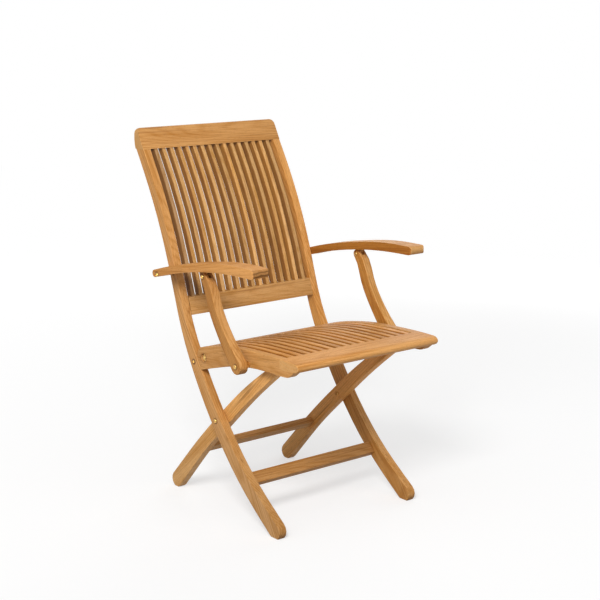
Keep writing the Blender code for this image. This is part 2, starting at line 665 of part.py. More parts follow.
def seat_rail_outline():
    """Top curve, a nose that runs up under the front rail, the deep underside, and a rear end
    rounded about the hinge so that it passes the stile as the seat swings up."""
    shelf = FRONT_RAIL_BACK + GLUE_GAP
    y, z = SEAT_HINGE
    nearest = nearest_on(STILE_FRONT, SEAT_HINGE)
    swing = math.dist(nearest, SEAT_HINGE) - SWING_GAP
    facing = math.atan2(nearest[1] - z, nearest[0] - y)
    entry = math.asin(min(1, (seat_top(y + swing * REAR_ROUND_SHARE) - z) / swing))
    top_end = y + swing * math.cos(entry) - LEAST_STEP_LENGTH
    top = [(float(a), float(b)) for a, b in SEAT_CURVE if shelf + LEAST_STEP_LENGTH < a < top_end]
    arc = [(y + swing * math.cos(entry + (facing - entry) * i / CAP_STEPS),
            z + swing * math.sin(entry + (facing - entry) * i / CAP_STEPS)) for i in range(CAP_STEPS + 1)]
    depth = smooth_curve([(a, b * SEAT_RAIL_DEPTH / SEAT_LENGTH) for a, b in SEAT_RAIL_SHARES], RAIL_STEPS)
    under = [(y - a * SEAT_LENGTH, seat_top(y - a * SEAT_LENGTH) - b * SEAT_LENGTH) for a, b in depth]
    parallel = STILE_FRONT + STILE_NORMALS * SWING_GAP
    heel = (at_height(parallel, under[0][1]), under[0][1])
    face = [tuple(p) for p in parallel
            if heel[1] + LEAST_STEP_LENGTH < p[1] < arc[-1][1] - LEAST_STEP_LENGTH]
    nose = []
    for a, b in RAIL_NOSE_SHARES:
        place = y - a * SEAT_LENGTH
        nose.append((place, under[-1][1] + b * (front_rail_underside(place) - GLUE_GAP - under[-1][1])))
    shelf_points = [(shelf, seat_top(shelf)), (shelf, front_rail_underside(shelf) - GLUE_GAP)]
    return arc[::-1] + top + shelf_points + nose[::-1] + under[::-1] + [heel] + face


def turned_back(place, centre, angle):
    """A place turned about a centre, in degrees, the way the chair folds."""
    turn = math.radians(-angle)
    y, z = place[0] - centre[0], place[1] - centre[1]
    return (centre[0] + y * math.cos(turn) - z * math.sin(turn),
            centre[1] + y * math.sin(turn) + z * math.cos(turn))


def bar_in_seat(angle):
    """Where the leg top bar is, as the seat sees it, once the seat has swung up by an angle."""
    bar = turned_back(LEG_BAR, CROSS_BOLT, LEG_FOLD_RATIO * angle)
    return turned_back(bar, SEAT_HINGE, -angle)


def meets_front_rail(a, b):
    """Picks the edges of the seat's lap joints, behind and under the front rail."""
    for p in (a, b):
        y, z = p[1] + SEAT_HINGE[0], p[2] + SEAT_HINGE[1]
        if not near(y, FRONT_RAIL_BACK) and not near(z, front_rail_underside(y)):
            return False
    return True


def make_seat_side_rails(seat):
    outline = seat_rail_outline()
    low, high = INNER_FACE - CUT_OVERRUN, OUTER_FACE + CUT_OVERRUN
    plate_depth = INNER_FACE + PLATE_THICKNESS + 2 * GLUE_GAP
    swept = swept_link(SEAT_HINGE, PLATE_EYE_RADIUS + PIN_GAP, HINGE_STUD, PLATE_TAIL_RADIUS + PIN_GAP)
    notch = link_outline(LEG_BAR, LEG_BAR_RADIUS + PIN_GAP, bar_in_seat(NOTCH_EXIT_ANGLE),
                         LEG_BAR_RADIUS + NOTCH_FLARE_WIDTH)
    for side, word in ((-1, "left"), (1, "right")):
        piece = extruded("seat_side_rail_" + word, outline, side * INNER_FACE, side * OUTER_FACE,
                         seat, TEAK)
        ease_edges(piece, crisp=meets_front_rail)
        tool = extruded("rail_plate_tool_" + word, swept, side * low, side * plate_depth, seat)
        combine(piece, tool, "DIFFERENCE")
        tool = extruded("rail_notch_tool_" + word, notch, side * low,
                        side * (INNER_FACE + NOTCH_DEPTH), seat)
        combine(piece, tool, "DIFFERENCE")
        drill(piece, "rail_pin_tool_" + word, SEAT_HINGE, PIN_RADIUS + PIN_GAP, low, high, side, seat)
        drill(piece, "rail_bore_tool_" + word, SEAT_HINGE, COUNTERBORE_RADIUS,
              OUTER_FACE - COUNTERBORE_DEPTH, high, side, seat)
        drill(piece, "rail_foot_tool_" + word, SUPPORT_FOOT, PIN_RADIUS + PIN_GAP,
              INNER_FACE + BOARD_THICKNESS / 3, high, side, seat)


def make_seat_front_rail(seat):
    """A wide board across the rails, its front edge a soft nose."""
    back, roof = FRONT_RAIL_BACK, seat_top(FRONT_RAIL_BACK)
    flat_front = SEAT_NOSE + FRONT_RAIL_NOSE_LENGTH
    top = [(float(a), float(b)) for a, b in SEAT_CURVE if flat_front < a < back]
    middle = seat_top(flat_front) - FRONT_RAIL_THICKNESS / 2
    nose = []
    for i in range(CAP_STEPS + 1):
        turn = math.pi * i / CAP_STEPS
        nose.append((flat_front - FRONT_RAIL_NOSE_LENGTH * math.sin(turn),
                     middle + FRONT_RAIL_THICKNESS / 2 * math.cos(turn)))
    outline = [(back, roof)] + top + nose + [(back, roof - FRONT_RAIL_THICKNESS)]
    piece = extruded("seat_front_rail", outline, -OUTER_FACE, OUTER_FACE, seat, TEAK)
    ease_edges(piece, crisp=meets_front_rail)


def seat_strip(front, rear, thickness, steps):
    """The outline of a board under the seat's top curve, from its front y to its rear y."""
    places = [rear + (front - rear) * i / steps for i in range(steps + 1)]
    top = [(y, seat_top(y)) for y in places]
    return top + [(y, z - thickness) for y, z in top[::-1]]


def make_seat_rear_rail(seat):
    outline = seat_strip(REAR_RAIL_FRONT, REAR_RAIL_FRONT + REAR_RAIL_WIDTH, REAR_RAIL_THICKNESS, 4)
    end = INNER_FACE - GLUE_GAP
    ease_edges(extruded("seat_rear_rail", outline, -end, end, seat, TEAK), crisp=same_x)


def make_seat_slats(seat):
    outline = seat_strip(FRONT_RAIL_BACK + GLUE_GAP, REAR_RAIL_FRONT - GLUE_GAP,
                         SEAT_SLAT_THICKNESS, SLAT_STEPS)
    for number, x in enumerate(evenly_spaced(SLAT_COUNT, SEAT_SLAT_WIDTH, CLEAR_WIDTH), start=1):
        half = SEAT_SLAT_WIDTH / 2
        piece = extruded("seat_slat_%02d" % number, outline, x - half, x + half, seat, TEAK)
        ease_edges(piece, SEAT_SLAT_EDGE_RADIUS, 1, same_y)


ARM_INNER = OUTER_FACE + ARM_SIDE_GAP
ARM_MIDDLE = ARM_INNER + ARM_WIDTH / 2


def arm_knots():
    return [(ARM_BOLT[0] - y * ARM_LENGTH, ARM_BOLT[1] + z * ARM_RISE_HEIGHT, w * ARM_THICKNESS)
            for y, z, w in ARM_SHARES]


def make_arms(arms):
    """A bowed board with a round rear end and nose, and the tongue that its support grips."""
    knots = arm_knots()
    outline = board_outline(knots, ARM_STEPS)
    low, high = ARM_INNER - CUT_OVERRUN, ARM_INNER + ARM_WIDTH + CUT_OVERRUN
    ys = [p[0] for p in outline]
    zs = [p[1] for p in outline]
    curve = smooth_curve(knots, ARM_STEPS)[::-1]
    roof = float(np.interp(SUPPORT_TOP[0], curve[:, 0], curve[:, 1]))
    half = TONGUE_WIDTH / 2
    tongue = [(SUPPORT_TOP[0] - half, roof), (SUPPORT_TOP[0] - half, SUPPORT_TOP[1])]
    tongue += [(SUPPORT_TOP[0] - half * math.cos(turn), SUPPORT_TOP[1] - half * math.sin(turn))
               for turn in np.linspace(0, math.pi, CAP_STEPS + 1)[1:-1]]
    tongue += [(SUPPORT_TOP[0] + half, SUPPORT_TOP[1]), (SUPPORT_TOP[0] + half, roof)]
    for side, word in ((-1, "left"), (1, "right")):
        pivot = arms[side]
        inner, outer = side * ARM_INNER, side * (ARM_INNER + ARM_WIDTH)
        piece = extruded("arm_" + word, outline, inner, outer, pivot, TEAK)
        plan = rounded_front_plan(inner, outer, min(ys), max(ys) + CUT_OVERRUN, ARM_CORNER_RADIUS)
        tool = extruded("arm_plan_tool_" + word, plan, min(zs) - CUT_OVERRUN, max(zs) + CUT_OVERRUN, pivot,
                        axis="Z")
        combine(piece, tool, "INTERSECT")
        ease_edges(piece, ARM_EDGE_RADIUS)
        tool = extruded("arm_tongue_tool_" + word, tongue, side * (ARM_MIDDLE - TONGUE_THICKNESS / 2),
                        side * (ARM_MIDDLE + TONGUE_THICKNESS / 2), pivot)
        combine(piece, tool, "UNION")
        drill(piece, "arm_bolt_tool_" + word, ARM_BOLT, PIN_RADIUS + PIN_GAP, low, high, side, pivot)
        drill(piece, "arm_bore_tool_" + word, ARM_BOLT, ARM_BORE_RADIUS,
              ARM_INNER + ARM_WIDTH - ARM_BORE_DEPTH, high, side, pivot)
        drill(piece, "tongue_bolt_tool_" + word, SUPPORT_TOP, PIN_RADIUS + PIN_GAP, low, high, side, pivot)


def rounded_front_plan(inner, outer, front, rear, radius):
    """The plan of an arm in X and Y: square at the rear, with rounded corners in front."""
    low, high = min(inner, outer), max(inner, outer)
    points = [(high, rear), (low, rear)]
    for centre, first in ((low + radius, 180), (high - radius, 270)):
        for i in range(CAP_STEPS + 1):
            turn = math.radians(first + 90 * i / CAP_STEPS)
            points.append((centre + radius * math.cos(turn), front + radius + radius * math.sin(turn)))
    return points


def make_arm_supports(supports):
    """A curved strut with a forked head round the arm's tongue."""
    knots = [(*beside(SUPPORT_TOP, SUPPORT_FOOT, along, aside), share * SUPPORT_WIDTH)
             for along, aside, share in SUPPORT_SHARES]
    outline = board_outline(knots, SUPPORT_STEPS)
    inner = ARM_MIDDLE - SUPPORT_THICKNESS / 2
    outer = ARM_MIDDLE + SUPPORT_THICKNESS / 2
    head = math.atan2(knots[0][1] - knots[1][1], knots[0][0] - knots[1][0])
    up = (math.cos(head), math.sin(head))
    centre = tuple(c + u * (SUPPORT_WIDTH - FORK_DEPTH) for c, u in zip(SUPPORT_TOP, up))
    fork = bar_outline(centre, up, 2 * SUPPORT_WIDTH, 2 * SUPPORT_WIDTH)
    slot = TONGUE_THICKNESS / 2 + PIN_GAP
    low, high = inner - CUT_OVERRUN, outer + CUT_OVERRUN
    for side, word in ((-1, "left"), (1, "right")):
        pivot = supports[side]
        piece = extruded("arm_support_" + word, outline, side * inner, side * outer, pivot, TEAK)
        ease_edges(piece, SUPPORT_EDGE_RADIUS)
        tool = extruded("support_fork_tool_" + word, fork, side * (ARM_MIDDLE - slot), side * (ARM_MIDDLE + slot),
                        pivot)
        combine(piece, tool, "DIFFERENCE")
        for use, place in (("top", SUPPORT_TOP), ("foot", SUPPORT_FOOT)):
            drill(piece, "support_%s_tool_%s" % (use, word), place, PIN_RADIUS + PIN_GAP, low, high, side, pivot)


def make_arm_bolts(root, arms, seat):
    """The bolt that carries each arm, and the two that hold its support."""
    inner = ARM_MIDDLE - SUPPORT_THICKNESS / 2
    outer = ARM_MIDDLE + SUPPORT_THICKNESS / 2
    for side, word in ((-1, "left"), (1, "right")):
        tip = INNER_FACE + BOARD_THICKNESS / 3 + PIN_GAP
        head = ARM_INNER + ARM_WIDTH - ARM_BORE_DEPTH + PIN_GAP
        profile = [(tip, PIN_RADIUS), (head, PIN_RADIUS)] + dome(head, 1, HEAD_RADIUS, HEAD_HEIGHT)
        turned("arm_pivot_bolt_" + word, profile, ARM_BOLT, side, root, BRASS)
        profile = dome(inner - PIN_GAP, -1, HEAD_RADIUS, HEAD_HEIGHT)[::-1]
        profile += [(inner - PIN_GAP, PIN_RADIUS), (outer + PIN_GAP, PIN_RADIUS)]
        profile += dome(outer + PIN_GAP, 1, HEAD_RADIUS, HEAD_HEIGHT)
        turned("support_top_bolt_" + word, profile, SUPPORT_TOP, side, arms[side], BRASS)
        spacer = OUTER_FACE + GLUE_GAP
        profile = [(tip, PIN_RADIUS), (spacer, PIN_RADIUS), (spacer, WASHER_RADIUS),
                   (inner - PIN_GAP, WASHER_RADIUS), (inner - PIN_GAP, PIN_RADIUS), (outer + PIN_GAP, PIN_RADIUS)]
        profile += dome(outer + PIN_GAP, 1, HEAD_RADIUS, HEAD_HEIGHT)
        turned("support_foot_bolt_" + word, profile, SUPPORT_FOOT, side, seat, BRASS)


def centre_on_floor(root):
    """Stand the chair over the origin: the middle of its width and depth, feet at zero."""
    bpy.context.view_layer.update()
    places = [piece.matrix_world @ vertex.co for piece in bpy.data.objects
              if piece.type == "MESH" and not piece.hide_render for vertex in piece.data.vertices]
    ys = [place.y for place in places]
    root.empty.location.y = -(min(ys) + max(ys)) / 2


def main():
    for old in list(bpy.data.objects):
        bpy.data.objects.remove(old, do_unlink=True)
    root = Pivot("chair", (0, 0, 0))
    legs = Pivot("leg_pivot", (0, *CROSS_BOLT), root)
    seat = Pivot("seat_pivot", (0, *SEAT_HINGE), root)
    arms, supports = {}, {}
    for side, word in ((-1, "left"), (1, "right")):
        arms[side] = Pivot("arm_pivot_" + word, (side * ARM_MIDDLE, *ARM_BOLT), root)
        supports[side] = Pivot("support_pivot_" + word, (side * ARM_MIDDLE, *SUPPORT_TOP), arms[side])
    make_stiles(root)
    make_crest_rail(root)
    make_lower_back_rail(root)
    make_back_slats(root)
    make_front_stretcher(root)
    make_seat_hinges(root)
    make_cross_bolts(root)
    make_rear_legs(legs)
    make_rear_stretcher(legs)
    make_leg_top_bar(legs)
    make_seat_side_rails(seat)
    make_seat_front_rail(seat)
    make_seat_rear_rail(seat)
    make_seat_slats(seat)
    make_arms(arms)
    make_arm_supports(supports)
    make_arm_bolts(root, arms, seat)
    centre_on_floor(root)


main()
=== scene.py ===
"""The looks of a folding teak armchair: oiled boards with their own grain, and brass fittings.

Metres, +Z up, the sitter faces -Y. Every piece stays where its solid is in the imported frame.
"""

import json
import math
import random

import bpy
import numpy as np
from mathutils import Euler, Matrix, Vector

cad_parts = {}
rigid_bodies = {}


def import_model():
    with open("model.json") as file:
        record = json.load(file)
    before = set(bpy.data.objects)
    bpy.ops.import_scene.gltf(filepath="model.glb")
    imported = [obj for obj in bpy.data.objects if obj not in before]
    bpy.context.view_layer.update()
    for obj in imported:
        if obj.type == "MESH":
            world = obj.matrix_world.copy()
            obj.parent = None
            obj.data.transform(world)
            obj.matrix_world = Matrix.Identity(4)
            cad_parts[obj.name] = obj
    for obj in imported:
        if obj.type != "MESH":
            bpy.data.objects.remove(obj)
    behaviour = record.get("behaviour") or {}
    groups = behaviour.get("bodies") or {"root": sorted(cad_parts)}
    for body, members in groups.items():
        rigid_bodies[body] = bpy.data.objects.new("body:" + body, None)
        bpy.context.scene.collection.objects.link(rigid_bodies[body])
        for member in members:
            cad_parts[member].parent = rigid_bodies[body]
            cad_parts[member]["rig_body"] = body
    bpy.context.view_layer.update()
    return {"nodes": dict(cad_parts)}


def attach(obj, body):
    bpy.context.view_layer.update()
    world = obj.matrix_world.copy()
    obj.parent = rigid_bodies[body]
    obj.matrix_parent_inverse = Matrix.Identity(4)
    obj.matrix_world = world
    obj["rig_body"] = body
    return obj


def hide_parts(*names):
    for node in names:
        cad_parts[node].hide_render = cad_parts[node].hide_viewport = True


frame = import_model()


# Shader sums

class Value:
    """A shader value that takes part in sums: every operator adds the Math node it stands for."""

    def __init__(self, finish, socket):
        self.finish = finish
        self.socket = socket

    def math(self, operation, *values):
        return self.finish.node("Math", {"operation": operation}, dict(enumerate(values)))

    def __add__(self, other):
        return self.math("ADD", self, other)

    def __radd__(self, other):
        return self.math("ADD", other, self)

    def __sub__(self, other):
        return self.math("SUBTRACT", self, other)

    def __rsub__(self, other):
        return self.math("SUBTRACT", other, self)

    def __mul__(self, other):
        return self.math("MULTIPLY", self, other)

    def __rmul__(self, other):
        return self.math("MULTIPLY", other, self)

    def __truediv__(self, other):
        return self.math("DIVIDE", self, other)

    def __pow__(self, other):
        return self.math("POWER", self, other)

    def __abs__(self):
        return self.math("ABSOLUTE", self)

    def sine(self):
        return self.math("SINE", self)

    def at_least(self, other):
        return self.math("MAXIMUM", self, other)

    def between(self, low, high):
        """How far the value has come from low to high, from 0 to 1 with soft ends."""
        return self.finish.node("MapRange", {"interpolation_type": "SMOOTHSTEP"},
                                {"Value": self, "From Min": low, "From Max": high})


class Finish:
    """The shader nodes of a material, or of the world round the chair."""

    def __init__(self, owner):
        owner.use_nodes = True
        self.owner = owner
        self.tree = owner.node_tree
        self.output = next(n for n in self.tree.nodes if n.type.startswith("OUTPUT"))
        self.shader = self.output.inputs["Surface"].links[0].from_node

    def fill(self, node, sockets):
        """Set or link a node's sockets, by name or by number."""
        for key, value in sockets.items():
            socket = node.inputs[key]
            if isinstance(value, Value):
                self.tree.links.new(value.socket, socket)
            elif hasattr(value, "__len__") and len(value) == 3 and socket.type == "RGBA":
                socket.default_value = (*value, 1)
            else:
                socket.default_value = value

    def node(self, kind, settings=None, sockets=None, out=0):
        """Add a node: its settings first, then the values or links of its sockets."""
        made = self.tree.nodes.new("ShaderNode" + kind)
        for key, value in (settings or {}).items():
            setattr(made, key, value)
        self.fill(made, sockets or {})
        return Value(self, made.outputs[out])

    def tint(self, under, over, share, blend="MIX"):
        """One colour over another, by a share from 0 to 1."""
        return self.node("Mix", {"data_type": "RGBA", "blend_type": blend},
                         {0: share, 6: under, 7: over}, 2)

    def dot(self, one, other):
        """The dot product: of two directions, 1 along each other and 0 square to each other."""
        return self.node("VectorMath", {"operation": "DOT_PRODUCT"}, {0: one, 1: other}, "Value")

    def parts(self, vector):
        """The X, Y and Z of a vector."""
        split = self.node("SeparateXYZ", {}, {0: vector}).socket.node
        return [Value(self, out) for out in split.outputs]

    def speckle(self, vector, often, detail, roughness):
        """Noise that changes that often in a metre along each axis."""
        spread = self.node("VectorMath", {"operation": "MULTIPLY"}, {0: vector, 1: often})
        return self.node("TexNoise", {}, {"Vector": spread, "Scale": 1.0, "Detail": detail,
                                          "Roughness": roughness})

    def arris(self, facing, radius, wear):
        """1 on a piece's sharp edges and 0 on its faces, with wear's two limits between them."""
        rounded = self.node("Bevel", {"samples": 4}, {"Radius": radius})
        return (1 - self.dot(facing, rounded)).between(*wear)

    def relief(self, height, depth):
        """A Bump node, whose depth is in metres."""
        return self.node("Bump", {}, {"Height": height, "Distance": depth, "Strength": 1.0})


# Teak colours, as the planed and oiled boards show them
HONEY = (0.630, 0.328, 0.110)
AMBER = (0.440, 0.186, 0.034)
STREAK = (0.235, 0.084, 0.016)
PORE = (0.150, 0.054, 0.012)
END_GRAIN = (0.200, 0.085, 0.022)
DARK_END = (0.090, 0.036, 0.008)
PALE_END = (0.595, 0.335, 0.128)
RUBBED = (0.700, 0.375, 0.120)
# Grime and painted shade, for round the fittings' heads
GRIME_AND_SHADE = (0.085, 0.034, 0.010)
# What honey and amber are multiplied by in a plank that leans to one of these
ORANGE, PLAIN, STRAW = (1.01, 0.93, 0.82), (1.04, 1.00, 0.95), (1.02, 1.06, 1.14)
PALE, GREY = (0.98, 1.09, 1.28), (0.86, 0.98, 1.40)

# The grain's patterns: how often they change in a metre, along the fibres and twice across them,
# and then their detail and roughness
WANDER = (2.4, 16, 16), 2.0, 0.45
CLOUD = (2.6, 26, 26), 2.0, 0.5
VEIN = (2.8, 120, 120), 2.0, 0.55
STRIPE = (4.5, 230, 230), 2.0, 0.5
FIBRE = (9, 520, 520), 3.0, 0.62
PORES = (80, 1500, 1500), 1.0, 0.5
# How far off in those patterns a plank may be cut, and how its heart lies
PLANK_SHIFT, HEART_TILT, FLAT_SAWN_TURN = 9, 0.07, 0.25
RING_WANDER, RING_SHARPNESS = 0.022, 2.4
# How much each pattern turns honey to amber, and how much amber there is without them
FIBRE_SHARE, CLOUD_SHARE, STRIPE_SHARE, AMBER_SHARE = 0.8, 1.4, 1.2, 0.34
# Where veins and pores begin and are full in their patterns, and how strong they are
VEIN_RANGE, VEIN_SHARE = (0.56, 0.80), 0.65
PORE_RANGE, PORE_SHARE = (0.60, 0.74), 0.5
# How much darker and greyer the boards are at the bottom, and the height where that has faded out
LOW_GREYING, LOW_GREYING_HEIGHT = (0.82, 0.87, 0.97), 0.42
# Between which limits a face counts as a flank for its painted light and shade, and how the red,
# green and blue of that painted shading follow the board's flank
FLANK_SHADING_RANGE, FLANK_SHADING_POWERS = (0.45, 0.85), (1, 1.5, 3.0)
# Dirt and painted shade round a head go from its rim to a little further out, or past the seat
# pivot's wide bore
DIRT_SHADE_FROM, DIRT_SHADE_TO, BORE_DIRT_SHADE_TO, OUTWARD_RANGE = 0.0060, 0.0105, 0.0180, (0.4, 0.8)
TEAK_ARRIS, TEAK_WEAR, TEAK_GLOSS, GRAIN_DEPTH = 0.0016, (0.01, 0.16), 0.28, 0.00012

# Brass: polished, dulled in patches, and worn bright on its edges
BRASS, DULLED, WORN = (0.80, 0.52, 0.17), (0.26, 0.13, 0.03), (0.95, 0.74, 0.36)
TARNISH, TARNISH_RANGE, TARNISH_SHARE = ((260, 260, 260), 3.0, 0.6), (0.42, 0.74), 0.8
SCRATCHES, SCRATCH_DEPTH = ((400, 2600, 900), 2.0, 0.5), 0.00002
BRASS_ARRIS, BRASS_WEAR, WORN_SHARE = 0.0008, (0.02, 0.20), 0.35

# How each board was cut, and how it came out: the first line that its name starts with is its own.
# Tone is how bright the whole board is, flank the painted light and shade on its left and
# right faces beside that, and lean the way its colour goes. Bands is how strong its rings are and
# ring_gap how far apart.
# Heart is how far off the middle of the rings is, and turn how far round. End is the colour of the
# end grain, and nose says how squarely a face has to cross the fibres to be end grain
BOARDS = (
    ("crest_rail", {"tone": 0.88, "bands": 0.27, "flat_sawn": True, "lean": PLAIN,
                    "end": PALE_END}),
    ("lower_back_rail", {"tone": 0.92, "bands": 0.18, "flat_sawn": True, "lean": STRAW}),
    ("back_slat_01", {"tone": 0.80, "flank": 0.60, "lean": GREY}),
    ("back_slat", {"tone": (0.86, 1.26), "flank": 0.55, "bands": 0.30, "lean": PALE}),
    ("seat_slat", {"tone": (0.84, 1.17), "flank": 0.52, "bands": 0.30, "lean": PLAIN}),
    ("seat_side_rail", {"tone": 0.90, "bands": 0.24, "flat_sawn": True, "lean": PLAIN,
                        "end": PALE_END}),
    ("seat_front_rail", {"tone": 1.04, "ring_gap": 0.0090, "bands": 0.22, "flat_sawn": True,
                         "lean": PLAIN, "end": PALE_END}),
    ("stile_left", {"tone": 0.93, "flank": 1.08, "lean": PLAIN}),
    ("stile_right", {"tone": 1.16, "flank": 0.84, "lean": PLAIN}),
    ("arm_left", {"tone": 1.00, "ring_gap": 0.0090, "heart": 0.40, "bands": 0.22, "turn": 0.13,
                  "flat_sawn": True, "lean": ORANGE, "end": DARK_END, "nose": (0.32, 0.80)}),
    ("arm_right", {"tone": 1.02, "flank": 0.60, "bands": 0.22, "flat_sawn": True, "lean": PLAIN,
                   "end": PALE_END}),
    ("arm_support_left", {"tone": 0.86, "flank": 0.84, "lean": PLAIN}),
    ("arm_support_right", {"tone": 1.12, "flank": 0.72, "lean": STRAW}),
    # The rear legs' tones are raised as painted light, brightening them where they stand in shade
    ("rear_leg_left", {"tone": 1.34, "flank": 0.94, "bands": 0.24, "lean": STRAW}),
    ("rear_leg_right", {"tone": 1.48, "flank": 0.94, "bands": 0.24, "lean": PLAIN}),
    ("front_stretcher", {"tone": 0.88, "lean": ORANGE}),
    ("rear_stretcher", {"tone": 1.00, "lean": PLAIN}),
    ("", {"tone": 1.0}),
)
# The plugs' fibres lie along the chair's width, so that their end grain shows
PLUG_CUT = {"tone": 1.20, "flank": 0.90, "end": AMBER}
PLUG_AXES = Vector(), Vector((1, 0, 0)), Vector((0, 1, 0)), Vector((0, 0, 1))


def board_axes(node):
    """A board's middle, and its long, wide and thin directions, from its own corners."""
    points = np.array([v.co for v in node.data.vertices])
    points = np.unique(points.round(6), axis=0)
    middle = (points.max(0) + points.min(0)) / 2
    axes = np.linalg.eigh(np.cov(points.T))[1]
    long, thin = Vector(axes[:, 2]), Vector(axes[:, 0])
    if long[max(range(3), key=lambda i: abs(long[i]))] < 0:
        long = -long
    return Vector(middle), long, thin.cross(long), thin


def teak(name, axes, seed, tone=1.0, flank=1.0, lean=None, ring_gap=0.0055, heart=0.05,
         flat_sawn=False, bands=0.34, end=END_GRAIN, nose=(0.50, 0.92), turn=0.0, heads=()):
    """Oiled teak, its fibres along the board, cut from its own plank of that seed."""
    chance = random.Random(seed)
    if not isinstance(tone, float):
        tone = chance.uniform(*tone)
    lean = lean or chance.choice((ORANGE, STRAW, PLAIN, PLAIN))
    wood = Finish(bpy.data.materials.new(name))
    middle, long, wide, thin = axes
    board_turn = Matrix((long, wide, thin))
    place = wood.node("TexCoord", out="Object")
    board = wood.node("Mapping", {}, {"Vector": place, "Rotation": board_turn.to_euler(),
                                      "Location": -(board_turn @ middle)})
    shift = Vector([chance.uniform(-PLANK_SHIFT, PLANK_SHIFT) for _ in "xyz"])
    plank = wood.node("VectorMath", {"operation": "ADD"}, {0: board, 1: shift})

    # Growth rings, about a heart beside or behind the board
    if flat_sawn:
        angle = turn + chance.uniform(-FLAT_SAWN_TURN, FLAT_SAWN_TURN)
    else:
        angle = turn + chance.uniform(0, 2 * math.pi)
    tilt = HEART_TILT * chance.choice((-1, 1))
    x, y, z = wood.parts(board)
    wander = wood.speckle(plank, *WANDER)
    beside = y - heart * math.sin(angle)
    behind = z + x * tilt + heart * math.cos(angle)
    radius = (beside * beside + behind * behind) ** 0.5
    phase = (radius + wander * RING_WANDER) * (2 * math.pi / ring_gap)
    ring = (phase.sine() * 0.5 + 0.5) ** RING_SHARPNESS

    # Fibres, pores and slow changes of colour along the board
    fibre = wood.speckle(plank, *FIBRE)
    pore = wood.speckle(plank, *PORES).between(*PORE_RANGE)
    cloud = wood.speckle(plank, *CLOUD)
    vein = wood.speckle(plank, *VEIN).between(*VEIN_RANGE)
    stripe = wood.speckle(plank, *STRIPE)

    honey = [c * tone * l for c, l in zip(HONEY, lean)]
    amber = [c * tone * l for c, l in zip(AMBER, lean)]
    depth = ring * bands + (fibre - 0.5) * FIBRE_SHARE + (cloud - 0.5) * CLOUD_SHARE
    depth = (depth + (stripe - 0.5) * STRIPE_SHARE + AMBER_SHARE).between(0, 1)
    colour = wood.tint(honey, amber, depth)
    colour = wood.tint(colour, STREAK, vein * VEIN_SHARE)
    colour = wood.tint(colour, PORE, pore * PORE_SHARE)

    # The boards are darker and greyer towards the bottom, fading out at the given height
    chair_y, chair_z = wood.parts(place)[1:]
    low_greying = 1 - chair_z.between(0.0, LOW_GREYING_HEIGHT)
    colour = wood.tint(colour, LOW_GREYING, low_greying, "MULTIPLY")

    # The flanks get painted light and shade: darker where the chair shades them, lighter where the
    # light falls on them
    facing = wood.node("NewGeometry", out="Normal")
    flank_shading_mask = abs(wood.dot(facing, (1, 0, 0))).between(*FLANK_SHADING_RANGE)
    colour = wood.tint(colour, [flank ** power for power in FLANK_SHADING_POWERS], flank_shading_mask, "MULTIPLY")

    # Dirt and painted shade of the heads darken the wood round the heads of the fittings, on the
    # outer faces
    for side, head_y, head_z, reach in heads:
        y_off, z_off = chair_y - head_y, chair_z - head_z
        off = (y_off * y_off + z_off * z_off) ** 0.5
        outward = wood.dot(facing, (side, 0, 0)).between(*OUTWARD_RANGE)
        dirt_and_shade = (1 - off.between(DIRT_SHADE_FROM, reach)) * outward
        colour = wood.tint(colour, GRIME_AND_SHADE, dirt_and_shade * (0.35 + 0.9 * cloud))

    # End grain drinks more oil, and arrises are rubbed paler
    edge = wood.arris(facing, TEAK_ARRIS, TEAK_WEAR)
    across = abs(wood.dot(facing, long)).between(*nose)
    colour = wood.tint(colour, end, across * (0.45 + 0.4 * ring))
    colour = wood.tint(colour, RUBBED, edge * (0.05 + 0.6 * cloud))

    rough = 0.48 + fibre * 0.18 + pore * 0.12 + across * 0.12 - edge * 0.10
    grain = fibre * 0.6 + ring * 0.25 - pore * 0.9
    wood.fill(wood.shader, {"Base Color": colour, "Roughness": rough,
                            "Specular IOR Level": TEAK_GLOSS,
                            "Normal": wood.relief(grain, GRAIN_DEPTH)})
    return wood.owner


def brass(name, seed):
    """Brass with a patchy tarnish and fine scratches, worn bright on its edges."""
    chance = random.Random(seed)
    metal = Finish(bpy.data.materials.new(name))
    place = metal.node("TexCoord", out="Object")
    shift = [chance.uniform(-1, 1) for _ in "xyz"]
    spot = metal.node("Mapping", {}, {"Vector": place, "Location": shift})
    tarnish = metal.speckle(spot, *TARNISH)
    scratch = metal.speckle(spot, *SCRATCHES)
    facing = metal.node("NewGeometry", out="Normal")
    edge = metal.arris(facing, BRASS_ARRIS, BRASS_WEAR)
    colour = metal.tint(BRASS, DULLED, tarnish.between(*TARNISH_RANGE) * TARNISH_SHARE)
    colour = metal.tint(colour, WORN, edge * WORN_SHARE)
    rough = 0.16 + tarnish * 0.20 + scratch * 0.08
    metal.fill(metal.shader, {"Base Color": colour, "Metallic": 1.0, "Roughness": rough,
                              "Normal": metal.relief(scratch, SCRATCH_DEPTH)})
    return metal.owner


# Boards and fittings in the solids' own shapes, with clean faces and smooth arrises
BRASS_WORDS = ("bolt", "hinge")
MERGE_REACH, FLAT_WITHIN, SMOOTH_WITHIN = 0.000002, math.radians(0.4), math.radians(38)
FACE_WEIGHT = 80
ALONG_X = (0, math.radians(90), 0)
SOCKET_RADIUS, SOCKET_DEPTH, CROWN_DEPTH = 0.0019, 0.0013, 0.0003
HEAD_RADIUS, PLUG_SIDES, PLUG_DEPTH, PLUG_GAP = 0.0058, 24, 0.0015, 0.0002
# The boards that get dirt and painted shade round the heads, and the Y and Z of the seat's pivot
DRILLED = ("stile", "seat_side_rail", "arm", "rear_leg")
SEAT_PIVOT = 0.0474, 0.4106


def side_of(name):
    """-1 for a piece whose name ends with left, and 1 for the others."""
    return -1 if name.endswith("left") else 1


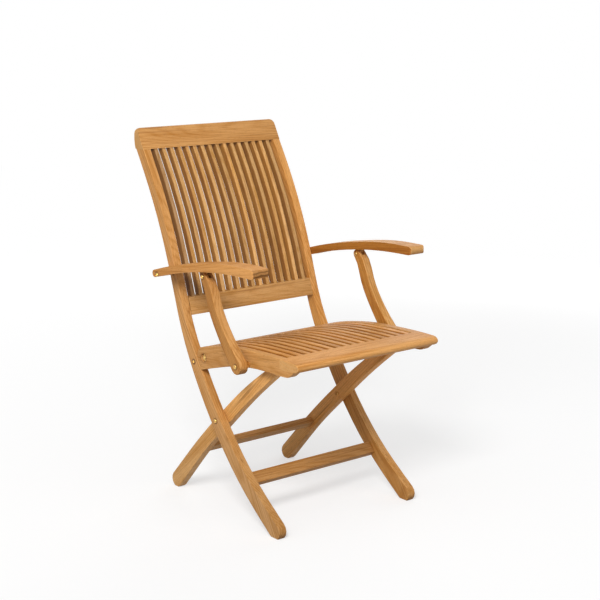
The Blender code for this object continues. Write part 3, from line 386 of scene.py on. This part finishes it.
def planed(node, name):
    """A node's shape as a piece of its own, its triangles joined into clean, crisp faces."""
    bpy.ops.object.select_all(action="DESELECT")
    piece = bpy.data.objects.new(name, node.data.copy())
    bpy.context.scene.collection.objects.link(piece)
    bpy.context.view_layer.objects.active = piece
    piece.select_set(True)
    bpy.ops.mesh.customdata_custom_splitnormals_clear()
    bpy.ops.object.mode_set(mode="EDIT")
    bpy.ops.mesh.select_all(action="SELECT")
    bpy.ops.mesh.remove_doubles(threshold=MERGE_REACH)
    bpy.ops.mesh.dissolve_limited(angle_limit=FLAT_WITHIN)
    bpy.ops.object.mode_set(mode="OBJECT")
    bpy.ops.object.shade_smooth_by_angle(angle=SMOOTH_WITHIN)
    weigh = piece.modifiers.new("weigh", "WEIGHTED_NORMAL")
    weigh.keep_sharp = True
    weigh.weight = FACE_WEIGHT
    bpy.ops.object.modifier_apply(modifier=weigh.name)
    return piece


def crown(piece, side):
    """How far a fitting reaches along X on that side, and the middle of its outermost points."""
    points = [v.co for v in piece.data.vertices]
    reach = max(side * p.x for p in points)
    outermost = [p for p in points if side * p.x > reach - CROWN_DEPTH]
    return reach, sum(outermost, Vector()) / len(outermost)


def drive_socket(piece, side):
    """The six-sided hole for the key, in the head at that end of a fitting."""
    reach, middle = crown(piece, side)
    bpy.ops.object.select_all(action="DESELECT")
    bpy.ops.mesh.primitive_cylinder_add(vertices=6, radius=SOCKET_RADIUS, depth=2 * SOCKET_DEPTH,
                                        location=(side * reach, middle.y, middle.z),
                                        rotation=ALONG_X)
    key = bpy.context.object
    bpy.context.view_layer.objects.active = piece
    bore = piece.modifiers.new("bore", "BOOLEAN")
    bore.operation = "DIFFERENCE"
    bore.solver = "EXACT"
    bore.object = key
    bpy.ops.object.modifier_apply(modifier=bore.name)
    bpy.data.objects.remove(key)


def plugged(piece, name, side):
    """Cut a bolt back from its inner end, and close its hole there with a teak plug."""
    reach, middle = crown(piece, -side)
    inner = -reach
    bpy.ops.object.select_all(action="DESELECT")
    bpy.context.view_layer.objects.active = piece
    piece.select_set(True)
    bpy.ops.object.mode_set(mode="EDIT")
    bpy.ops.mesh.select_all(action="SELECT")
    bpy.ops.mesh.bisect(plane_co=(side * (inner + PLUG_DEPTH), 0, 0), plane_no=(side, 0, 0),
                        use_fill=True, clear_inner=True)
    bpy.ops.object.mode_set(mode="OBJECT")
    bpy.ops.object.select_all(action="DESELECT")
    bpy.ops.mesh.primitive_cylinder_add(
        vertices=PLUG_SIDES, radius=HEAD_RADIUS - PLUG_GAP, depth=PLUG_DEPTH - PLUG_GAP,
        location=(side * (inner + PLUG_DEPTH / 2), middle.y, middle.z), rotation=ALONG_X)
    plug = bpy.context.object
    plug.name = name
    bpy.ops.object.transform_apply(location=True, rotation=True, scale=True)
    ease = plug.modifiers.new("ease", "BEVEL")
    ease.width = PLUG_GAP
    ease.segments = 2
    bpy.ops.object.modifier_apply(modifier=ease.name)
    bpy.ops.object.shade_smooth_by_angle(angle=SMOOTH_WITHIN)
    return plug


def head_places(nodes):
    """Where the fittings' heads sit: side, centre in Y and Z, and how far the dirt and painted
    shade reach.
    """
    places = []
    for name, node in nodes.items():
        if any(word in name for word in BRASS_WORDS):
            side = side_of(name)
            middle = crown(node, side)[1]
            places.append((side, middle.y, middle.z, DIRT_SHADE_TO))
            if "hinge" in name:
                places.append((side, *SEAT_PIVOT, BORE_DIRT_SHADE_TO))
    return places


def holds(node, head):
    """Whether a head lies within a board, seen from the side."""
    points = [v.co for v in node.data.vertices]
    return all(min(p[i] for p in points) < head[i] < max(p[i] for p in points) for i in (1, 2))


all_heads = head_places(frame["nodes"])
for seed, (name, node) in enumerate(sorted(frame["nodes"].items())):
    metal = any(word in name for word in BRASS_WORDS)
    side = side_of(name)
    piece = planed(node, name + ("_fitting" if metal else "_board"))
    if metal:
        made = brass(name + "_brass", seed)
        drive_socket(piece, side)
        if name.startswith("leg_cross_bolt"):
            plug = plugged(piece, name.replace("bolt", "plug"), side)
            plug.data.materials.append(teak(plug.name + "_teak", PLUG_AXES, seed, **PLUG_CUT))
            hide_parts(name)
            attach(plug, node["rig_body"])
    else:
        cut = next(cut for start, cut in BOARDS if name.startswith(start))
        heads = [head for head in all_heads
                 if name.startswith(DRILLED) and head[0] == side and holds(node, head)]
        made = teak(name + "_teak", board_axes(node), seed, heads=heads, **cut)
    piece.data.materials.clear()
    piece.data.materials.append(made)
    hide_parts(name)
    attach(piece, node["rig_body"])


# Stage: a soft sky and a key lamp from the front left and above, a wide lamp behind on the right,
# and a white floor that keeps a soft shadow
LIGHT_SIDE = Vector((-0.55, -0.62, 0.56)).normalized()
SKY_LOW, SKY_GAIN, SKY_TURN, SKY_SAMPLES = 0.06, 0.68, -0.20, 600
WHITE, PAPER, FLOOR_RADIUS, FLOOR_SIDES = (1, 1, 1), 0.46, 9, 64
# Each lamp's place, width and power
LAMPS = {"key_lamp": ((-1.75, -1.55, 2.15), 0.9, 66), "side_lamp": ((2.5, 1.5, 1.9), 3.0, 28)}
AIM = Vector((0, 0, 0.45))
CAMERA_PLACE, CAMERA_TURN = (-2.13807, -2.82136, 1.27295), (78.311725, 0.736213, -38.015699)
CAMERA_LENS, CAMERA_SENSOR = 81.10056, 36


def lamp(name, place, size, power):
    light = bpy.data.lights.new(name, "AREA")
    light.shape = "DISK"
    light.size = size
    light.energy = power
    made = bpy.data.objects.new(name, light)
    bpy.context.scene.collection.objects.link(made)
    made.location = place
    made.rotation_euler = (AIM - Vector(place)).to_track_quat("-Z", "Y").to_euler()


def sky_glow():
    """The share of full white that the sky alone sends to level ground, over even directions."""
    total = 0
    for i in range(SKY_SAMPLES):
        rise = math.sqrt(1 - (i + 0.5) / SKY_SAMPLES)
        turn = i * math.pi * (3 - math.sqrt(5))
        flat = math.sqrt(1 - rise * rise)
        lean = Vector((flat * math.cos(turn), flat * math.sin(turn), rise)).dot(LIGHT_SIDE)
        come = min(1, max(0, (lean - SKY_TURN) / (1 - SKY_TURN)))
        total += SKY_LOW + SKY_GAIN * come * come * (3 - 2 * come)
    return total / SKY_SAMPLES


def seen_directly(finish):
    """1 where the camera, a mirror or a glass looks, and 0 for the light on the chair."""
    direct = finish.node("LightPath", out="Is Camera Ray")
    for look in ("Is Glossy Ray", "Is Transmission Ray"):
        direct = direct.at_least(finish.node("LightPath", out=look))
    return direct


for name, (place, size, power) in LAMPS.items():
    lamp(name, place, size, power)

bpy.ops.object.select_all(action="DESELECT")
bpy.ops.mesh.primitive_circle_add(vertices=FLOOR_SIDES, radius=FLOOR_RADIUS, fill_type="NGON")
floor = bpy.context.object
floor.name = "floor"
paper = Finish(bpy.data.materials.new("floor_paper"))
ground = paper.node("TexCoord", out="Object")
# The paper glows by what the sky and the lamps leave short of white, so only shadows show on it
short = 1 - PAPER * sky_glow()
for place, size, power in LAMPS.values():
    away = paper.node("VectorMath", {"operation": "SUBTRACT"}, {0: ground, 1: place})
    far = paper.node("VectorMath", {"operation": "LENGTH"}, {0: away}, "Value")
    ahead = paper.dot(away, (AIM - Vector(place)).normalized()).at_least(0.0)
    short = short - ahead * (PAPER * power * place[2] / math.pi ** 2) / far ** 4
matt = paper.node("BsdfDiffuse", {}, {"Color": (PAPER, PAPER, PAPER)})
glow = paper.node("Emission", {}, {"Color": WHITE, "Strength": seen_directly(paper) * short})
paper.fill(paper.output, {"Surface": paper.node("AddShader", {}, {0: matt, 1: glow})})
floor.data.materials.append(paper.owner)

bpy.context.scene.world = bpy.data.worlds.new("studio")
sky = Finish(bpy.context.scene.world)
towards = sky.node("TexCoord", out="Generated")
plain = seen_directly(sky)
soft = SKY_LOW + SKY_GAIN * sky.dot(towards, LIGHT_SIDE).between(SKY_TURN, 1)
sky.fill(sky.shader, {"Color": WHITE, "Strength": plain + (1 - plain) * soft})

camera_data = bpy.data.cameras.new("camera")
camera_data.lens = CAMERA_LENS
camera_data.sensor_width = CAMERA_SENSOR
camera = bpy.data.objects.new("camera", camera_data)
bpy.context.scene.collection.objects.link(camera)
camera.location = CAMERA_PLACE
camera.rotation_euler = Euler([math.radians(turn) for turn in CAMERA_TURN])
bpy.context.scene.camera = camera
bpy.context.scene.view_settings.view_transform = "Standard"
